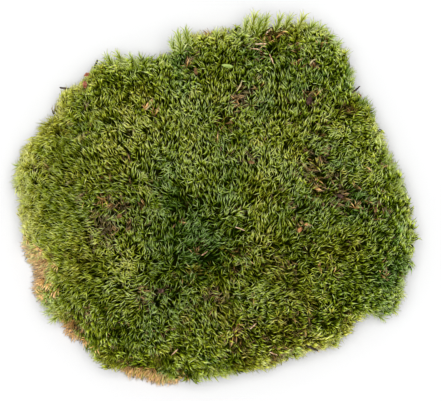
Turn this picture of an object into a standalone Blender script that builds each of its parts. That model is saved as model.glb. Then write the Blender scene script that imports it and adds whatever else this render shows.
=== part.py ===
"""A clump of broom-like moss, lifted in one piece and resting on the flat cut under its old stems.

Metres, +Z up. The origin is on the flat underside, below the middle of the clump.
Seen from above, +X is to the right and +Y to the far side, which the names call north.

moss_cushion is the living moss, reaching to the tips of its shoots: each tuft of shoots is a small
pyramid that grows from the skin. old_stem_mat is the felt of brown stems and rhizoids below it.
The other pieces are the litter caught in the moss: needles, straws, twigs and scraps of leaf and bark.
"""

import math
import random

import bmesh
import bpy
import numpy as np
from mathutils import Matrix, Vector, noise
from mathutils.bvhtree import BVHTree
from mathutils.geometry import delaunay_2d_cdt

MM = 0.001
DOWN = Vector((0, 0, -1))
UP = Vector((0, 0, 1))

# The living cushion, measured to the tips of its shoots
CROWN_HEIGHT = 35 * MM
SHOULDER_FALL = 5 * MM
WIDEST_LEVEL = 12 * MM
LIP_LEVEL = 3.2 * MM
ROLL_WIDTH = 20 * MM
TUCK_WIDTH = 3.5 * MM

# Tufts of shoots: how far apart they grow, how far each one wanders from its place, how high it is
TUFT_SPACING = 7.15 * MM
TUFT_WANDER = 0.22
TUFT_EDGE_ROOM = 0.6
TUFT_HEIGHT = 4 * MM
TUFT_HEIGHT_SHARES = (0.75, 1.3)
TUFT_LEAN = 2.6 * MM
LOWEST_TIP = 0.8 * MM

# Low lumps all over the top
LUMP_HEIGHT = 1.3 * MM
LUMP_SPACING = 22 * MM

# Single shoots that stand clear of the outline
STRAY_LENGTH = 15 * MM
STRAY_RADIUS = 1.5 * MM
STRAY_TIP_RADIUS = 0.09 * MM
STRAY_DROP = 0.1
STRAY_SIDES = 5

# The mat of old stems
MAT_INSET = 10 * MM
MAT_RIDGES = 120
MAT_RIDGE_DEPTH = 1.2 * MM
MAT_RIDGE_PHASE = math.pi / 4
MAT_RAGGEDNESS = 1.4 * MM
MAT_RAGGED_DEGREES = 4

# The side of the mat: height, then how far in from its outline where it is hidden and where it
# spreads out, in mm
MAT_SIDE_MM = [(0, 1.5, 0.6), (2.5, 0, 0), (7, 0.8, 3.0), (12, 3.5, 7.5)]

# What keeps pieces apart, how steeply litter can lie, and how tufts are pressed down under it
CLEARANCE = 0.35 * MM
STEEPEST_LITTER = 0.55
PRESSED_WIDTH = 3.2 * MM
PRESSED_DEPTH = 0.6

# Rods: the share of thickness that their ends lose, how high they bow in mm, and how many sides they have
NEEDLE_FORM = (0.6, 0.5, 4)
STRAW_FORM = (0.45, 0.6, 8)
TWIG_FORM = (0.25, 0.3, 8)
ROD_STRETCHES = 4

# Scraps of leaf: how they narrow, fold and curl, as shares of their own size
SCRAP_NARROWING = 0.75
SCRAP_FOLD = 0.22
SCRAP_CURL = 0.1
SCRAP_THICKNESS = 0.4 * MM

# Flakes of bark: thickness as a share of their width, and how rough they are
FLAKE_THICKNESS = 0.38
FLAKE_ROUGHNESS = 0.22
FLAKE_ROUGH_SIZE = 0.6

# The outline of the tips from above, anticlockwise from the east, in mm
RIM_MM = [
    (98, 0), (94, 12), (88, 24), (83, 36), (79, 47), (71, 57), (68, 68), (64, 77),
    (54, 87), (40, 89), (29, 88), (20, 87), (8, 85), (-4, 84), (-14, 83), (-20, 76),
    (-24, 72), (-37, 71), (-50, 69), (-62, 68), (-69, 59), (-80, 54), (-81, 43),
    (-91, 32), (-99, 22), (-102, 9), (-99, -3), (-98, -13), (-97, -23), (-87, -31),
    (-85, -40), (-89, -48), (-88, -54), (-80, -61), (-74, -63), (-70, -70),
    (-64, -78), (-58, -86), (-47, -88), (-36, -86), (-25, -90), (-17, -93),
    (-9, -93), (0, -91), (10, -90), (20, -88), (29, -86), (38, -83), (45, -79),
    (55, -80), (60, -76), (64, -71), (71, -66), (76, -59), (86, -59), (93, -57),
    (96, -44), (99, -34), (102, -22), (100, -10),
]

# Where old brown stems spread out past the green: middle and half width in degrees, and how far in mm
MAT_SPREADS = [(201.5, 11, 7.0), (222.5, 7, 4.5), (250, 12, 6.5)]

# Swellings and hollows of the top: x, y, radius and rise, in mm
SWELLINGS_MM = [
    (-8, -20, 26, -4.5), (40, 66, 25, 2.5), (-62, 6, 26, 2.2), (72, -12, 24, 2.2),
    (-20, -66, 22, 1.5), (12, 24, 18, 1.5), (-47, -10, 9, -2.5), (4, 41, 7, -2.5),
    (54, 8, 11, -2.5), (60, -60, 18, -1.5), (-60, 40, 16, 1.2), (48, 49, 5, -2.0),
]

# Cracks between neighbouring swellings: route, depth and half width, in mm
CRACKS_MM = [
    ([(-21, 76), (-13, 71), (-3, 73)], 5.0, 3.0),
    ([(27, 74), (31, 64), (33, 52), (32, 43)], 4.5, 2.6),
    ([(-87, 24), (-86, 12)], 3.0, 2.4),
    ([(-42, 27), (-38, 15)], 3.0, 2.4),
    ([(44, 20), (52, 8), (64, 2)], 3.0, 3.2),
    ([(15, -64), (30, -70), (47, -71)], 3.0, 3.2),
    ([(-18, 1), (-15, -8)], 3.0, 2.6),
    ([(-4, -43), (10, -36)], 2.5, 2.6),
]

# The places of their tips, in mm
STRAY_TIPS_MM = [
    (21, 94, 23), (17, 92, 22), (24, 92, 24), (27, 93, 22), (34, 93, 23), (39, 93, 20), (46, 93, 21),
    (51, 89, 22), (55, 88, 18), (64, 80, 18), (71, 65, 15), (-22, 81, 23), (-19, 84, 25), (-15, 86, 22),
    (1, 86, 20), (-56, 73, 18), (-51, 75, 14), (-44, 73, 19), (-39, 73, 14), (-102, 16, 14), (-103, 7, 11),
    (-87, -60, 12), (-84, -64, 12), (97, -50, 16), (94, -59, 10), (88, -63, 8), (30, -88, 8),
]

# Needles: name, the two ends from above and the thickness, in mm
NEEDLES_MM = [
    ("needle_north_long", (19.9, 75.0), (25.9, 75.4), 0.9),
    ("needle_north_short", (17.4, 73.2), (22.6, 72.4), 0.8),
    ("needle_north_edge", (25.4, 81.0), (28.6, 83.8), 0.9),
    ("needle_in_crack", (26.9, 70.4), (29.0, 65.2), 0.8),
    ("needle_middle", (10.2, -14.4), (15.0, -16.2), 0.8),
    ("needle_hollow", (-6.6, -28.6), (-3.2, -26.4), 0.8),
    ("needle_south_west", (-21.4, -77.8), (-17.6, -74.0), 0.8),
    ("needle_south", (17.4, -64.8), (20.6, -61.6), 0.8),
    ("needle_south_pink", (27.0, -76.2), (31.0, -77.8), 0.9),
]

# Straws: name, a bent route from above and the thickness, in mm
STRAWS_MM = [
    ("straw_bent", [(10.8, 51.8), (12.6, 54.4), (13.6, 57.4)], 0.9),
    ("straw_west", [(-33.6, 42.8), (-32.2, 44.2), (-30.6, 45.8)], 0.8),
    ("straw_north_east", [(46.4, 64.8), (48.0, 67.0), (50.0, 67.6)], 0.8),
]

# Twigs: name, the two ends from above and the thickness, in mm
TWIGS_MM = [
    ("twig_north_west", (-77.2, 54.8), (-70.2, 53.4), 1.3),
    ("twig_stub_north", (-58.8, 69.0), (-60.0, 64.6), 1.2),
    ("twig_stub_east", (72.2, 55.2), (68.2, 51.8), 1.1),
    ("twig_south_east", (45.6, -73.4), (51.4, -76.0), 1.3),
]

# Scraps of leaf: name, middle, length, width and turn in degrees, with sizes in mm
SCRAPS_MM = [
    ("leaf_scrap_pink_upper", (-63.2, 60.8), 3.4, 2.6, 20),
    ("leaf_scrap_pink_lower", (-63.6, 55.4), 4.4, 2.6, -75),
    ("leaf_scrap_pink_east", (72.0, 51.0), 3.0, 1.8, -30),
    ("leaf_green", (6.4, 64.2), 6.0, 2.1, -8),
    ("leaf_scrap_orange_east", (41.8, -15.8), 3.2, 2.2, 60),
    ("leaf_scrap_orange_small", (45.0, -13.2), 2.2, 1.5, 20),
    ("leaf_scrap_rust_middle", (18.0, 17.2), 3.6, 1.9, -10),
    ("leaf_scrap_rust_north", (-9.0, 61.8), 3.8, 2.4, 100),
    ("leaf_scrap_tan_west", (-46.4, -9.0), 3.4, 2.3, 50),
    ("leaf_scrap_far_east", (78.8, -6.2), 3.2, 1.8, 75),
]

# Flakes of bark: name, middle, length, width and turn in degrees, with sizes in mm
FLAKES_MM = [
    ("bark_flake_north_east", (46.4, 47.4), 5.0, 3.0, 65),
    ("bark_flake_east", (61.8, 0.6), 3.8, 2.6, -20),
    ("bark_flake_south_west", (-26.2, -45.8), 3.4, 2.2, 30),
]

ROLL_TRAVEL = math.pi / 2 * math.hypot(ROLL_WIDTH, CROWN_HEIGHT - SHOULDER_FALL - WIDEST_LEVEL) / math.sqrt(2)
TUCK_TRAVEL = math.pi / 2 * math.hypot(TUCK_WIDTH, WIDEST_LEVEL - LIP_LEVEL) / math.sqrt(2)
RIM_ANGLES = [math.atan2(y, x) % math.tau for x, y in RIM_MM]
RIM_RADII = [math.hypot(x, y) * MM for x, y in RIM_MM]


def clear_scene():
    for found in list(bpy.data.objects):
        bpy.data.objects.remove(found)


def new_collection(name):
    made = bpy.data.collections.new(name)
    bpy.context.scene.collection.children.link(made)
    return made


def plain_material(name, colour, roughness):
    made = bpy.data.materials.new(name)
    made.use_nodes = True
    shader = made.node_tree.nodes["Principled BSDF"]
    shader.inputs["Base Color"].default_value = (*colour, 1)
    shader.inputs["Roughness"].default_value = roughness
    shader.inputs["Metallic"].default_value = 0
    return made


def object_from(bm, name, collection, material=None):
    mesh = bpy.data.meshes.new(name)
    bm.to_mesh(mesh)
    bm.free()
    made = bpy.data.objects.new(name, mesh)
    collection.objects.link(made)
    if material:
        mesh.materials.append(material)
    return made


def rim_radius(angle):
    """How far the tips reach from the middle, in this direction."""
    return float(np.interp(angle % math.tau, RIM_ANGLES, RIM_RADII, period=math.tau))


def gap_to_route(x, y, route):
    """The distance from a point to a route of straight stretches, all in mm."""
    here = Vector((x, y))
    nearest = math.inf
    for start, end in zip(route, route[1:]):
        a = Vector(start)
        along = Vector(end) - a
        share = max(0, min(1, (here - a).dot(along) / along.length_squared))
        nearest = min(nearest, (here - a - along * share).length)
    return nearest


def top_level(x, y):
    """The height of the tips on the open top, with its swellings, hollows and cracks."""
    share = min(1, math.hypot(x, y) / rim_radius(math.atan2(y, x)))
    level = CROWN_HEIGHT - SHOULDER_FALL * share**2
    for middle_x, middle_y, radius, rise in SWELLINGS_MM:
        away = math.hypot(x / MM - middle_x, y / MM - middle_y) / radius
        level += rise * MM * math.exp(-(away**2))
    for route, depth, half_width in CRACKS_MM:
        away = gap_to_route(x / MM, y / MM, route) / half_width
        level -= depth * MM * math.exp(-(away**2))
    lump = noise.noise(Vector((x, y, 0)) / LUMP_SPACING)
    return level + LUMP_HEIGHT * lump


def travel_limit(angle):
    """The way from the crown over the shoulder and down to the lip."""
    return rim_radius(angle) - ROLL_WIDTH + ROLL_TRAVEL + TUCK_TRAVEL


def skin(angle, travel):
    """The place of the tips, and the way that they point, after some travel from the crown."""
    rim = rim_radius(angle)
    flat = rim - ROLL_WIDTH
    lean = 0
    radius = travel
    if travel > flat + ROLL_TRAVEL:
        tuck = min(1, (travel - flat - ROLL_TRAVEL) / TUCK_TRAVEL) * math.pi / 2
        lean = math.pi / 2 + tuck / 2
        radius = rim - TUCK_WIDTH * (1 - math.cos(tuck))
        height = WIDEST_LEVEL - (WIDEST_LEVEL - LIP_LEVEL) * math.sin(tuck)
    else:
        if travel > flat:
            lean = (travel - flat) / ROLL_TRAVEL * math.pi / 2
            radius = flat + ROLL_WIDTH * math.sin(lean)
        top = top_level(radius * math.cos(angle), radius * math.sin(angle))
        height = WIDEST_LEVEL + (top - WIDEST_LEVEL) * math.cos(lean)
    across = Vector((math.cos(angle), math.sin(angle), 0))
    return across * radius + UP * height, across * math.sin(lean) + UP * math.cos(lean)


def skin_level(x, y):
    """The height of the tips above a point of the plan."""
    angle = math.atan2(y, x)
    rim = rim_radius(angle)
    into_roll = (math.hypot(x, y) - rim + ROLL_WIDTH) / ROLL_WIDTH
    drop = math.sqrt(1 - max(0, min(1, into_roll)) ** 2)
    return WIDEST_LEVEL + (top_level(x, y) - WIDEST_LEVEL) * drop


def tuft_places(chance):
    """Points about one tuft apart over the unrolled skin, and how many of them edge it."""
    edge = []
    steps = round(math.tau * travel_limit(0) / TUFT_SPACING)
    for step in range(steps):
        angle = math.tau * step / steps
        edge.append(Vector((math.cos(angle), math.sin(angle))) * travel_limit(angle))
    inner = []
    row_gap = TUFT_SPACING * math.sqrt(3) / 2
    rows = math.ceil(max(point.length for point in edge) / row_gap)
    for row in range(-rows, rows + 1):
        for column in range(-rows, rows + 1):
            shift = TUFT_SPACING * (column + row % 2 / 2)
            wander = Vector((chance.uniform(-1, 1), chance.uniform(-1, 1))) * TUFT_SPACING * TUFT_WANDER
            point = Vector((shift, row * row_gap)) + wander
            if point.length < travel_limit(math.atan2(point.y, point.x)) - TUFT_SPACING * TUFT_EDGE_ROOM:
                inner.append(point)
    return edge + inner, len(edge)


def litter_routes():
    """Where each piece of litter lies, as a route in mm from above."""
    routes = [[start, end] for _, start, end, _ in NEEDLES_MM + TWIGS_MM]
    routes += [route for _, route, _ in STRAWS_MM]
    for _, (x, y), length, _, turn in SCRAPS_MM + FLAKES_MM:
        half = length / 2
        step_x, step_y = half * math.cos(math.radians(turn)), half * math.sin(math.radians(turn))
        routes.append([(x - step_x, y - step_y), (x + step_x, y + step_y)])
    return routes


def pressed(place, routes):
    """The share of its height that a tuft keeps next to the litter that lies on it."""
    nearest = min(gap_to_route(place.x / MM, place.y / MM, route) for route in routes) * MM
    return 1 - PRESSED_DEPTH * math.exp(-((nearest / PRESSED_WIDTH) ** 2))


def grow_tufts(bm, outward, chance):
    """Raises a pointed tuft from the middle of every face of the skin."""
    routes = litter_routes()
    tips = bmesh.ops.poke(bm, faces=bm.faces[:])["verts"]
    for vert in tips:
        corners = [edge.other_vert(vert) for edge in vert.link_edges]
        growth = sum((outward[corner] for corner in corners), Vector()).normalized()
        height = TUFT_HEIGHT * chance.uniform(*TUFT_HEIGHT_SHARES) * pressed(vert.co, routes)
        sway = noise.noise_vector(vert.co / LUMP_SPACING)
        sway -= growth * sway.dot(growth)
        vert.co += growth * height + sway * TUFT_LEAN
        vert.co.z = max(vert.co.z, LOWEST_TIP)


def build_skin(collection, material):
    """The cushion as one closed body: tufted skin above, flat at the lip below."""
    chance = random.Random(11)
    points, edge_count = tuft_places(chance)
    ring = [(i, (i + 1) % edge_count) for i in range(edge_count)]
    flat_points, _, faces, *_ = delaunay_2d_cdt(points, ring, [], 1, 1e-7)
    bm = bmesh.new()
    outward = {}
    for point in flat_points:
        tip, growth = skin(math.atan2(point.y, point.x), point.length)
        outward[bm.verts.new(tip - growth * TUFT_HEIGHT)] = growth
    bm.verts.ensure_lookup_table()
    for face in faces:
        bm.faces.new([bm.verts[i] for i in face])
    lip = {vert for edge in bm.edges if edge.is_boundary for vert in edge.verts}
    grow_tufts(bm, outward, chance)
    for vert in lip:
        vert.co.z = LIP_LEVEL
    bmesh.ops.holes_fill(bm, edges=[edge for edge in bm.edges if edge.is_boundary], sides=0)
    bmesh.ops.recalc_face_normals(bm, faces=bm.faces[:])
    return object_from(bm, "moss_cushion", collection, material)


def build_strays(collection):
    """Single shoots that stand clear of the outline, to be joined to the cushion."""
    bm = bmesh.new()
    for tip_mm in STRAY_TIPS_MM:
        tip = Vector(tip_mm) * MM
        outward = Vector((tip.x, tip.y, 0)).normalized()
        root = tip - (outward + UP * STRAY_DROP) * STRAY_LENGTH
        along = tip - root
        turn = along.to_track_quat("Z", "Y").to_matrix().to_4x4()
        bmesh.ops.create_cone(
            bm,
            cap_ends=True,
            segments=STRAY_SIDES,
            radius1=STRAY_RADIUS,
            radius2=STRAY_TIP_RADIUS,
            depth=along.length,
            matrix=Matrix.Translation((root + tip) / 2) @ turn,
        )
    return object_from(bm, "stray_shoots", collection)


def mat_spread(angle):
    """How fully the mat spreads out in this direction, from 0 to 1, and how far past the green."""
    degrees = math.degrees(angle) % 360
    share, past = 0, 0
    for middle, half_width, reach in MAT_SPREADS:
        here = math.exp(-(((degrees - middle) / half_width) ** 4))
        share += here
        past += here * reach * MM
    ragged = noise.noise(Vector((degrees / MAT_RAGGED_DEGREES, 0, 0)))
    return min(1, share), past + share * MAT_RAGGEDNESS * ragged


def mat_rings(bm, ridge_depth, grown, floor):
    """Extrudes a many-sided disc upwards along the side of the mat."""
    disc = bmesh.ops.create_circle(bm, cap_ends=True, segments=MAT_RIDGES, radius=1)
    ring = disc["verts"]
    faces = bm.faces[:]
    for level, (height, hidden_inset, spread_inset) in enumerate(MAT_SIDE_MM):
        if level:
            raised = bmesh.ops.extrude_face_region(bm, geom=faces)["geom"]
            if level > 1:
                bmesh.ops.delete(bm, geom=faces, context="FACES_ONLY")
            faces = [item for item in raised if isinstance(item, bmesh.types.BMFace)]
            ring = [item for item in raised if isinstance(item, bmesh.types.BMVert)]
        for vert in ring:
            angle = math.atan2(vert.co.y, vert.co.x)
            share, past = mat_spread(angle)
            inset = (hidden_inset * (1 - share) + spread_inset * share) * MM
            ridge = ridge_depth * math.cos(angle * MAT_RIDGES / 2 + MAT_RIDGE_PHASE)
            reach = rim_radius(angle) - MAT_INSET + (MAT_INSET + past) * share
            radius = reach - inset + ridge / 2 + grown
            vert.co = Vector((math.cos(angle) * radius, math.sin(angle) * radius, 0))
            vert.co.z = height * MM + grown if level else floor
    bmesh.ops.recalc_face_normals(bm, faces=bm.faces[:])


def build_mat(collection, material):
    """The felt of old stems and rhizoids, cut flat below."""
    bm = bmesh.new()
    mat_rings(bm, MAT_RIDGE_DEPTH, 0, 0)
    return object_from(bm, "old_stem_mat", collection, material)


def build_mat_cutter(collection):
    """The room that the mat takes up inside the cushion."""
    bm = bmesh.new()
    mat_rings(bm, 0, CLEARANCE + MAT_RIDGE_DEPTH / 2, -MM)
    return object_from(bm, "room_for_mat", collection)


def use_boolean(target, tool, operation):
    """Cuts or joins with a helper object that isn't rendered itself."""
    tool.hide_render = True
    tool.display_type = "WIRE"
    made = target.modifiers.new(f"{operation.lower()} {tool.name}", "BOOLEAN")
    made.operation = operation
    made.solver = "EXACT"
    made.object = tool


def body_of(vert):
    """Every corner that edges join to this one."""
    body = {vert}
    waiting = [vert]
    while waiting:
        for edge in waiting.pop().link_edges:
            fresh = [end for end in edge.verts if end not in body]
            body.update(fresh)
            waiting += fresh
    return body


def drop_crumbs(obj):
    """Makes the modifiers real and drops the tips of tufts that the cut leaves loose."""
    bpy.context.view_layer.update()
    graph = bpy.context.evaluated_depsgraph_get()
    mesh = bpy.data.meshes.new_from_object(obj.evaluated_get(graph))
    obj.modifiers.clear()
    obj.data = mesh
    bm = bmesh.new()
    bm.from_mesh(mesh)
    highest = max(bm.verts, key=lambda vert: vert.co.z)
    kept = body_of(highest)
    bmesh.ops.delete(bm, geom=[vert for vert in bm.verts if vert not in kept], context="VERTS")
    bm.to_mesh(mesh)
    bm.free()


def rod(name, route_mm, thickness_mm, form, collection, material):
    """A needle, straw or twig: a tapered rod over a route that follows the top of the moss."""
    taper, bow_mm, sides = form
    data = bpy.data.curves.new(name, "CURVE")
    data.dimensions = "3D"
    data.bevel_depth = thickness_mm * MM / 2
    data.bevel_resolution = sides // 4 - 1
    data.use_fill_caps = True
    line = data.splines.new("POLY")
    fine = []
    for start, end in zip(route_mm, route_mm[1:]):
        pieces = ROD_STRETCHES // (len(route_mm) - 1)
        fine += [Vector(start).lerp(Vector(end), step / pieces) for step in range(pieces)]
    fine.append(Vector(route_mm[-1]))
    line.points.add(len(fine) - 1)
    last = len(fine) - 1
    start, end = (skin_level(fine[i].x * MM, fine[i].y * MM) for i in (0, last))
    steepest = STEEPEST_LITTER * (fine[last] - fine[0]).length * MM
    end = start + max(-steepest, min(steepest, end - start))
    for number, (point, flat) in enumerate(zip(line.points, fine)):
        share = number / last
        level = start * (1 - share) + end * share + bow_mm * MM * math.sin(math.pi * share)
        point.co = (flat.x * MM, flat.y * MM, level, 1)
        point.radius = 1 - taper * (2 * share - 1) ** 2
    made = bpy.data.objects.new(name, data)
    collection.objects.link(made)
    data.materials.append(material)
    return made


def lay_over_moss(bm, middle_mm, turn):
    """Turns a flat shape, leans it as the moss leans under it, and moves it there."""
    x, y = middle_mm[0] * MM, middle_mm[1] * MM
    step = 2 * MM
    slope_x = (skin_level(x + step, y) - skin_level(x - step, y)) / (2 * step)
    slope_y = (skin_level(x, y + step) - skin_level(x, y - step)) / (2 * step)
    slope = Vector((slope_x, slope_y, 0))
    slope *= min(1, STEEPEST_LITTER / max(slope.length, STEEPEST_LITTER))
    lean = UP.rotation_difference((UP - slope).normalized()).to_matrix().to_4x4()
    place = Matrix.Translation((x, y, skin_level(x, y)))
    bm.transform(place @ lean @ Matrix.Rotation(math.radians(turn), 4, "Z"))


def leaf_scrap(name, middle_mm, length_mm, width_mm, turn, collection, material):
    """A scrap of leaf: pointed at both ends, folded along its vein and curled up."""
    bm = bmesh.new()
    bmesh.ops.create_grid(bm, x_segments=4, y_segments=2, size=1)
    for vert in bm.verts:
        along, across = vert.co.x, vert.co.y
        width = width_mm / 2 * (1 - SCRAP_NARROWING * along**2)
        fold = SCRAP_FOLD * width_mm * abs(across) * (1 - abs(along) / 2)
        curl = SCRAP_CURL * length_mm * along**2
        vert.co = Vector((along * length_mm / 2, across * width, fold + curl)) * MM
    lay_over_moss(bm, middle_mm, turn)
    made = object_from(bm, name, collection, material)
    wall = made.modifiers.new("leaf thickness", "SOLIDIFY")
    wall.thickness = SCRAP_THICKNESS
    wall.offset = 1
    return made


def bark_flake(name, middle_mm, length_mm, width_mm, turn, collection, material):
    """A flake of bark: a flat, rough lump."""
    bm = bmesh.new()
    bmesh.ops.create_icosphere(bm, subdivisions=1, radius=1)
    bmesh.ops.subdivide_edges(bm, edges=bm.edges[:], cuts=1, use_grid_fill=True)
    size = Vector((length_mm, width_mm, width_mm * FLAKE_THICKNESS)) * MM / 2
    for vert in bm.verts:
        vert.co.normalize()
        rough = 1 + FLAKE_ROUGHNESS * noise.noise(vert.co / FLAKE_ROUGH_SIZE + Vector((*middle_mm, 0)))
        vert.co = Vector([a * b * rough for a, b in zip(vert.co, size)])
    lay_over_moss(bm, middle_mm, turn)
    return object_from(bm, name, collection, material)


def points_on(obj, graph):
    """The corners, edge middles and face middles of an object, in world space."""
    shape = obj.evaluated_get(graph)
    mesh = shape.to_mesh()
    found = [shape.matrix_world @ vert.co for vert in mesh.vertices]
    found += [(found[a] + found[b]) / 2 for a, b in (edge.vertices for edge in mesh.edges)]
    found += [shape.matrix_world @ face.center for face in mesh.polygons]
    shape.to_mesh_clear()
    return found


def settle(piece, carrier, graph, carrier_points):
    """Lowers a piece until it all but touches what carries it."""
    carrier_tree = BVHTree.FromObject(carrier, graph)
    piece_tree = BVHTree.FromObject(piece, graph)
    far = CROWN_HEIGHT * 3
    gaps = []
    for point in points_on(piece, graph):
        hit = carrier_tree.ray_cast(point + UP * far, DOWN)[0]
        if hit:
            gaps.append(point.z - hit.z)
    for point in carrier_points:
        hit = piece_tree.ray_cast(point - UP * far, UP)[0]
        if hit:
            gaps.append(hit.z - point.z)
    piece.location.z -= min(gaps) - CLEARANCE


def build_litter(collection):
    """Every piece of litter, at the height of the tips."""
    needle = plain_material("dead needle", (0.52, 0.36, 0.24), 0.5)
    straw = plain_material("dry straw", (0.56, 0.48, 0.26), 0.6)
    twig = plain_material("twig bark", (0.09, 0.06, 0.04), 0.8)
    pink = plain_material("pink dead leaf", (0.50, 0.22, 0.14), 0.6)
    rust = plain_material("rusty dead leaf", (0.38, 0.19, 0.08), 0.7)
    green = plain_material("small green leaf", (0.36, 0.50, 0.13), 0.5)
    bark = plain_material("bark flake", (0.16, 0.08, 0.05), 0.85)
    made = []
    for name, start, end, thickness in NEEDLES_MM:
        made.append(rod(name, [start, end], thickness, NEEDLE_FORM, collection, needle))
    for name, route, thickness in STRAWS_MM:
        made.append(rod(name, route, thickness, STRAW_FORM, collection, straw))
    for name, start, end, thickness in TWIGS_MM:
        made.append(rod(name, [start, end], thickness, TWIG_FORM, collection, twig))
    for name, middle, length, width, turn in SCRAPS_MM:
        dead = pink if "pink" in name else rust
        colour = green if name == "leaf_green" else dead
        made.append(leaf_scrap(name, middle, length, width, turn, collection, colour))
    for name, middle, length, width, turn in FLAKES_MM:
        made.append(bark_flake(name, middle, length, width, turn, collection, bark))
    return made


def main():
    clear_scene()
    clump = new_collection("moss clump")
    helpers = new_collection("helpers")
    living = plain_material("living moss", (0.11, 0.14, 0.02), 0.7)
    old = plain_material("old stems", (0.20, 0.11, 0.05), 0.9)
    cushion = build_skin(clump, living)
    use_boolean(cushion, build_strays(helpers), "UNION")
    use_boolean(cushion, build_mat_cutter(helpers), "DIFFERENCE")
    drop_crumbs(cushion)
    build_mat(clump, old)
    litter = build_litter(clump)
    bpy.context.view_layer.update()
    graph = bpy.context.evaluated_depsgraph_get()
    cushion_points = points_on(cushion, graph)
    for piece in litter:
        settle(piece, cushion, graph, cushion_points)
    bpy.context.view_layer.update()


main()
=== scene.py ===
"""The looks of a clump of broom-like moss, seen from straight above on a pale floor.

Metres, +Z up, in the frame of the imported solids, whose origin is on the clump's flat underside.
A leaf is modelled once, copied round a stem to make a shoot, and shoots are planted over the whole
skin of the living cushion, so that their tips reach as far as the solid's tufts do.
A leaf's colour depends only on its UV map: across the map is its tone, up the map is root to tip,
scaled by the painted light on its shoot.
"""

import math
import random
from collections import namedtuple

import bpy
import numpy as np
from mathutils import Matrix, Vector, noise
from mathutils.bvhtree import BVHTree
from mathutils.kdtree import KDTree


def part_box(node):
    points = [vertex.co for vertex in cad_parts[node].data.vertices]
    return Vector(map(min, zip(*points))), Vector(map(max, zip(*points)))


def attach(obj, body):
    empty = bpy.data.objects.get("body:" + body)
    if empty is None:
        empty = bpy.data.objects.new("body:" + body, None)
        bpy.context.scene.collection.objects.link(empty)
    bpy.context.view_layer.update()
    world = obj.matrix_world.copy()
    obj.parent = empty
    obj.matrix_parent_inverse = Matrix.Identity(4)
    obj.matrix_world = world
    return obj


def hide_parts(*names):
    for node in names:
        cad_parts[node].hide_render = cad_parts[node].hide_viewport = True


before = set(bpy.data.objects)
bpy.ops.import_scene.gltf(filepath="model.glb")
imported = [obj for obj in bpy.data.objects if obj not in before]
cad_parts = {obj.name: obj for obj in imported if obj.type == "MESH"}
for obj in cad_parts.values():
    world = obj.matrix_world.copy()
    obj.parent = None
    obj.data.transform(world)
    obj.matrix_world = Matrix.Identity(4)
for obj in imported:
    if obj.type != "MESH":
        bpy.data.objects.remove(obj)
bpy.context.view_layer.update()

# The vector noise takes its seed from the clock unless it's given one
noise.seed_set(5)

MM = 0.001
UP = np.array((0.0, 0.0, 1.0))
LEVEL = np.array((1, 1, 0))
MAP_NAME = "OFBake"
GOLDEN_TURN = math.radians(137.5)

# The photograph's frame, and the point of the clump above the origin, in its pixels
FRAME_PIXELS = (442, 401)
MIDDLE_PIXEL = (214.5, 197.5)
METRES_PER_PIXEL = 0.5 * MM

# The camera looks straight down, and its frame is true to size at the level of the clump's sides
LENS_MM = 120
SENSOR_MM = 36
TRUE_LEVEL = 15 * MM
EYE_DISTANCE = LENS_MM / SENSOR_MM * FRAME_PIXELS[0] * METRES_PER_PIXEL

# One leaf: its shares of length at each ring, its width there, how much thinner than wide it is,
# and how much a full curl lowers it
LEAF_RINGS = (0.0, 0.6)
LEAF_RING_WIDTHS = (0.6, 1.0)
LEAF_THICKNESS = 0.34
CURL_DROP = 0.3

# Leaves of each kind: length and width in millimetres, and how far each one curls
MOSS_LEAVES = [(4.4, 1.02, 0.5), (4.8, 1.1, 0.6), (4.5, 0.98, 0.7), (5.2, 1.02, 0.55), (4.1, 1.15, 0.5)]
SILKY_LEAVES = [(4.3, 0.62, 0.4), (4.7, 0.68, 0.5), (4.0, 0.6, 0.55), (4.5, 0.6, 0.45)]
LONG_LEAVES = [(7.2, 0.76, 0.25), (8.0, 0.8, 0.4), (6.6, 0.72, 0.3), (7.6, 0.7, 0.35)]
FINE_LEAVES = [(5.0, 0.5, 0.25), (5.6, 0.54, 0.35), (4.6, 0.46, 0.4)]

# How much tone and painted light change from leaf to leaf, and tone across a leaf; the limits of
# painted light, and the margin of the map
LEAF_TONE_JITTER = 0.05
LEAF_LIGHT_JITTER = 0.3
LEAF_MAP_WIDTH = 0.003
DARKEST = 0.35
LIGHTEST = 1.2
MAP_MARGIN = 0.004

# Shoots: how many leaves they have, how far these sweep in degrees, how much less the upper ones
# do, and the sizes of the leaves
STEM_LENGTH = 1.6 * MM
SHOOT_LEAVES = 7
FULL_SHOOT_LEAVES = 10
OPEN_SHOOTS = 6
SWEEPS = (38, 44, 50, 56)
SILKY_SWEEPS = (34, 40, 46, 52)
RIM_SWEEPS = (16, 22, 28)
SWEPT_CLOSING = 0.45
SWEPT_LEAF_SIZES = (0.8, 1.15)
DEAD_SHOOTS = 6
DEAD_SWEEP = 55

# Shoots with leaves all round: number of leaves, length of the leafy stem, spread in degrees, how
# much less the upper leaves spread, chance's part in that and in the turn, and sizes of leaves
OPEN_SHOOT = (SHOOT_LEAVES, STEM_LENGTH, 50, 0.6, 8, 0.35, (0.82, 1.15))
SPRIG = (44, 9 * MM, 30, 22 / 30, 6, 0.3, (0.65, 0.9))

# Planting: how far apart, how many places are tried for each shoot, how large they are, and how
# the tips lie over the cushion's form without its tufts
SHOOT_SPACING = 2.05 * MM
TRIES_PER_PLACE = 7
SHOOT_SIZES = (0.85, 1.15)
LOWEST_LEAF = 0.4 * MM
FORM_RADIUS = 8 * MM
INNER_DEPTH = 2.4 * MM
TIP_RISE = 1.1 * MM
TIP_JITTER = 0.4 * MM
TUFT_FILL = 0.3
FLOW_SIZE = 22 * MM
TUFT_SIZE = 6 * MM
MIDDLE_RADIUS = 50 * MM
SIDES = ("moss_east", "moss_north_east", "moss_north_west", "moss_west", "moss_south")

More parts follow.
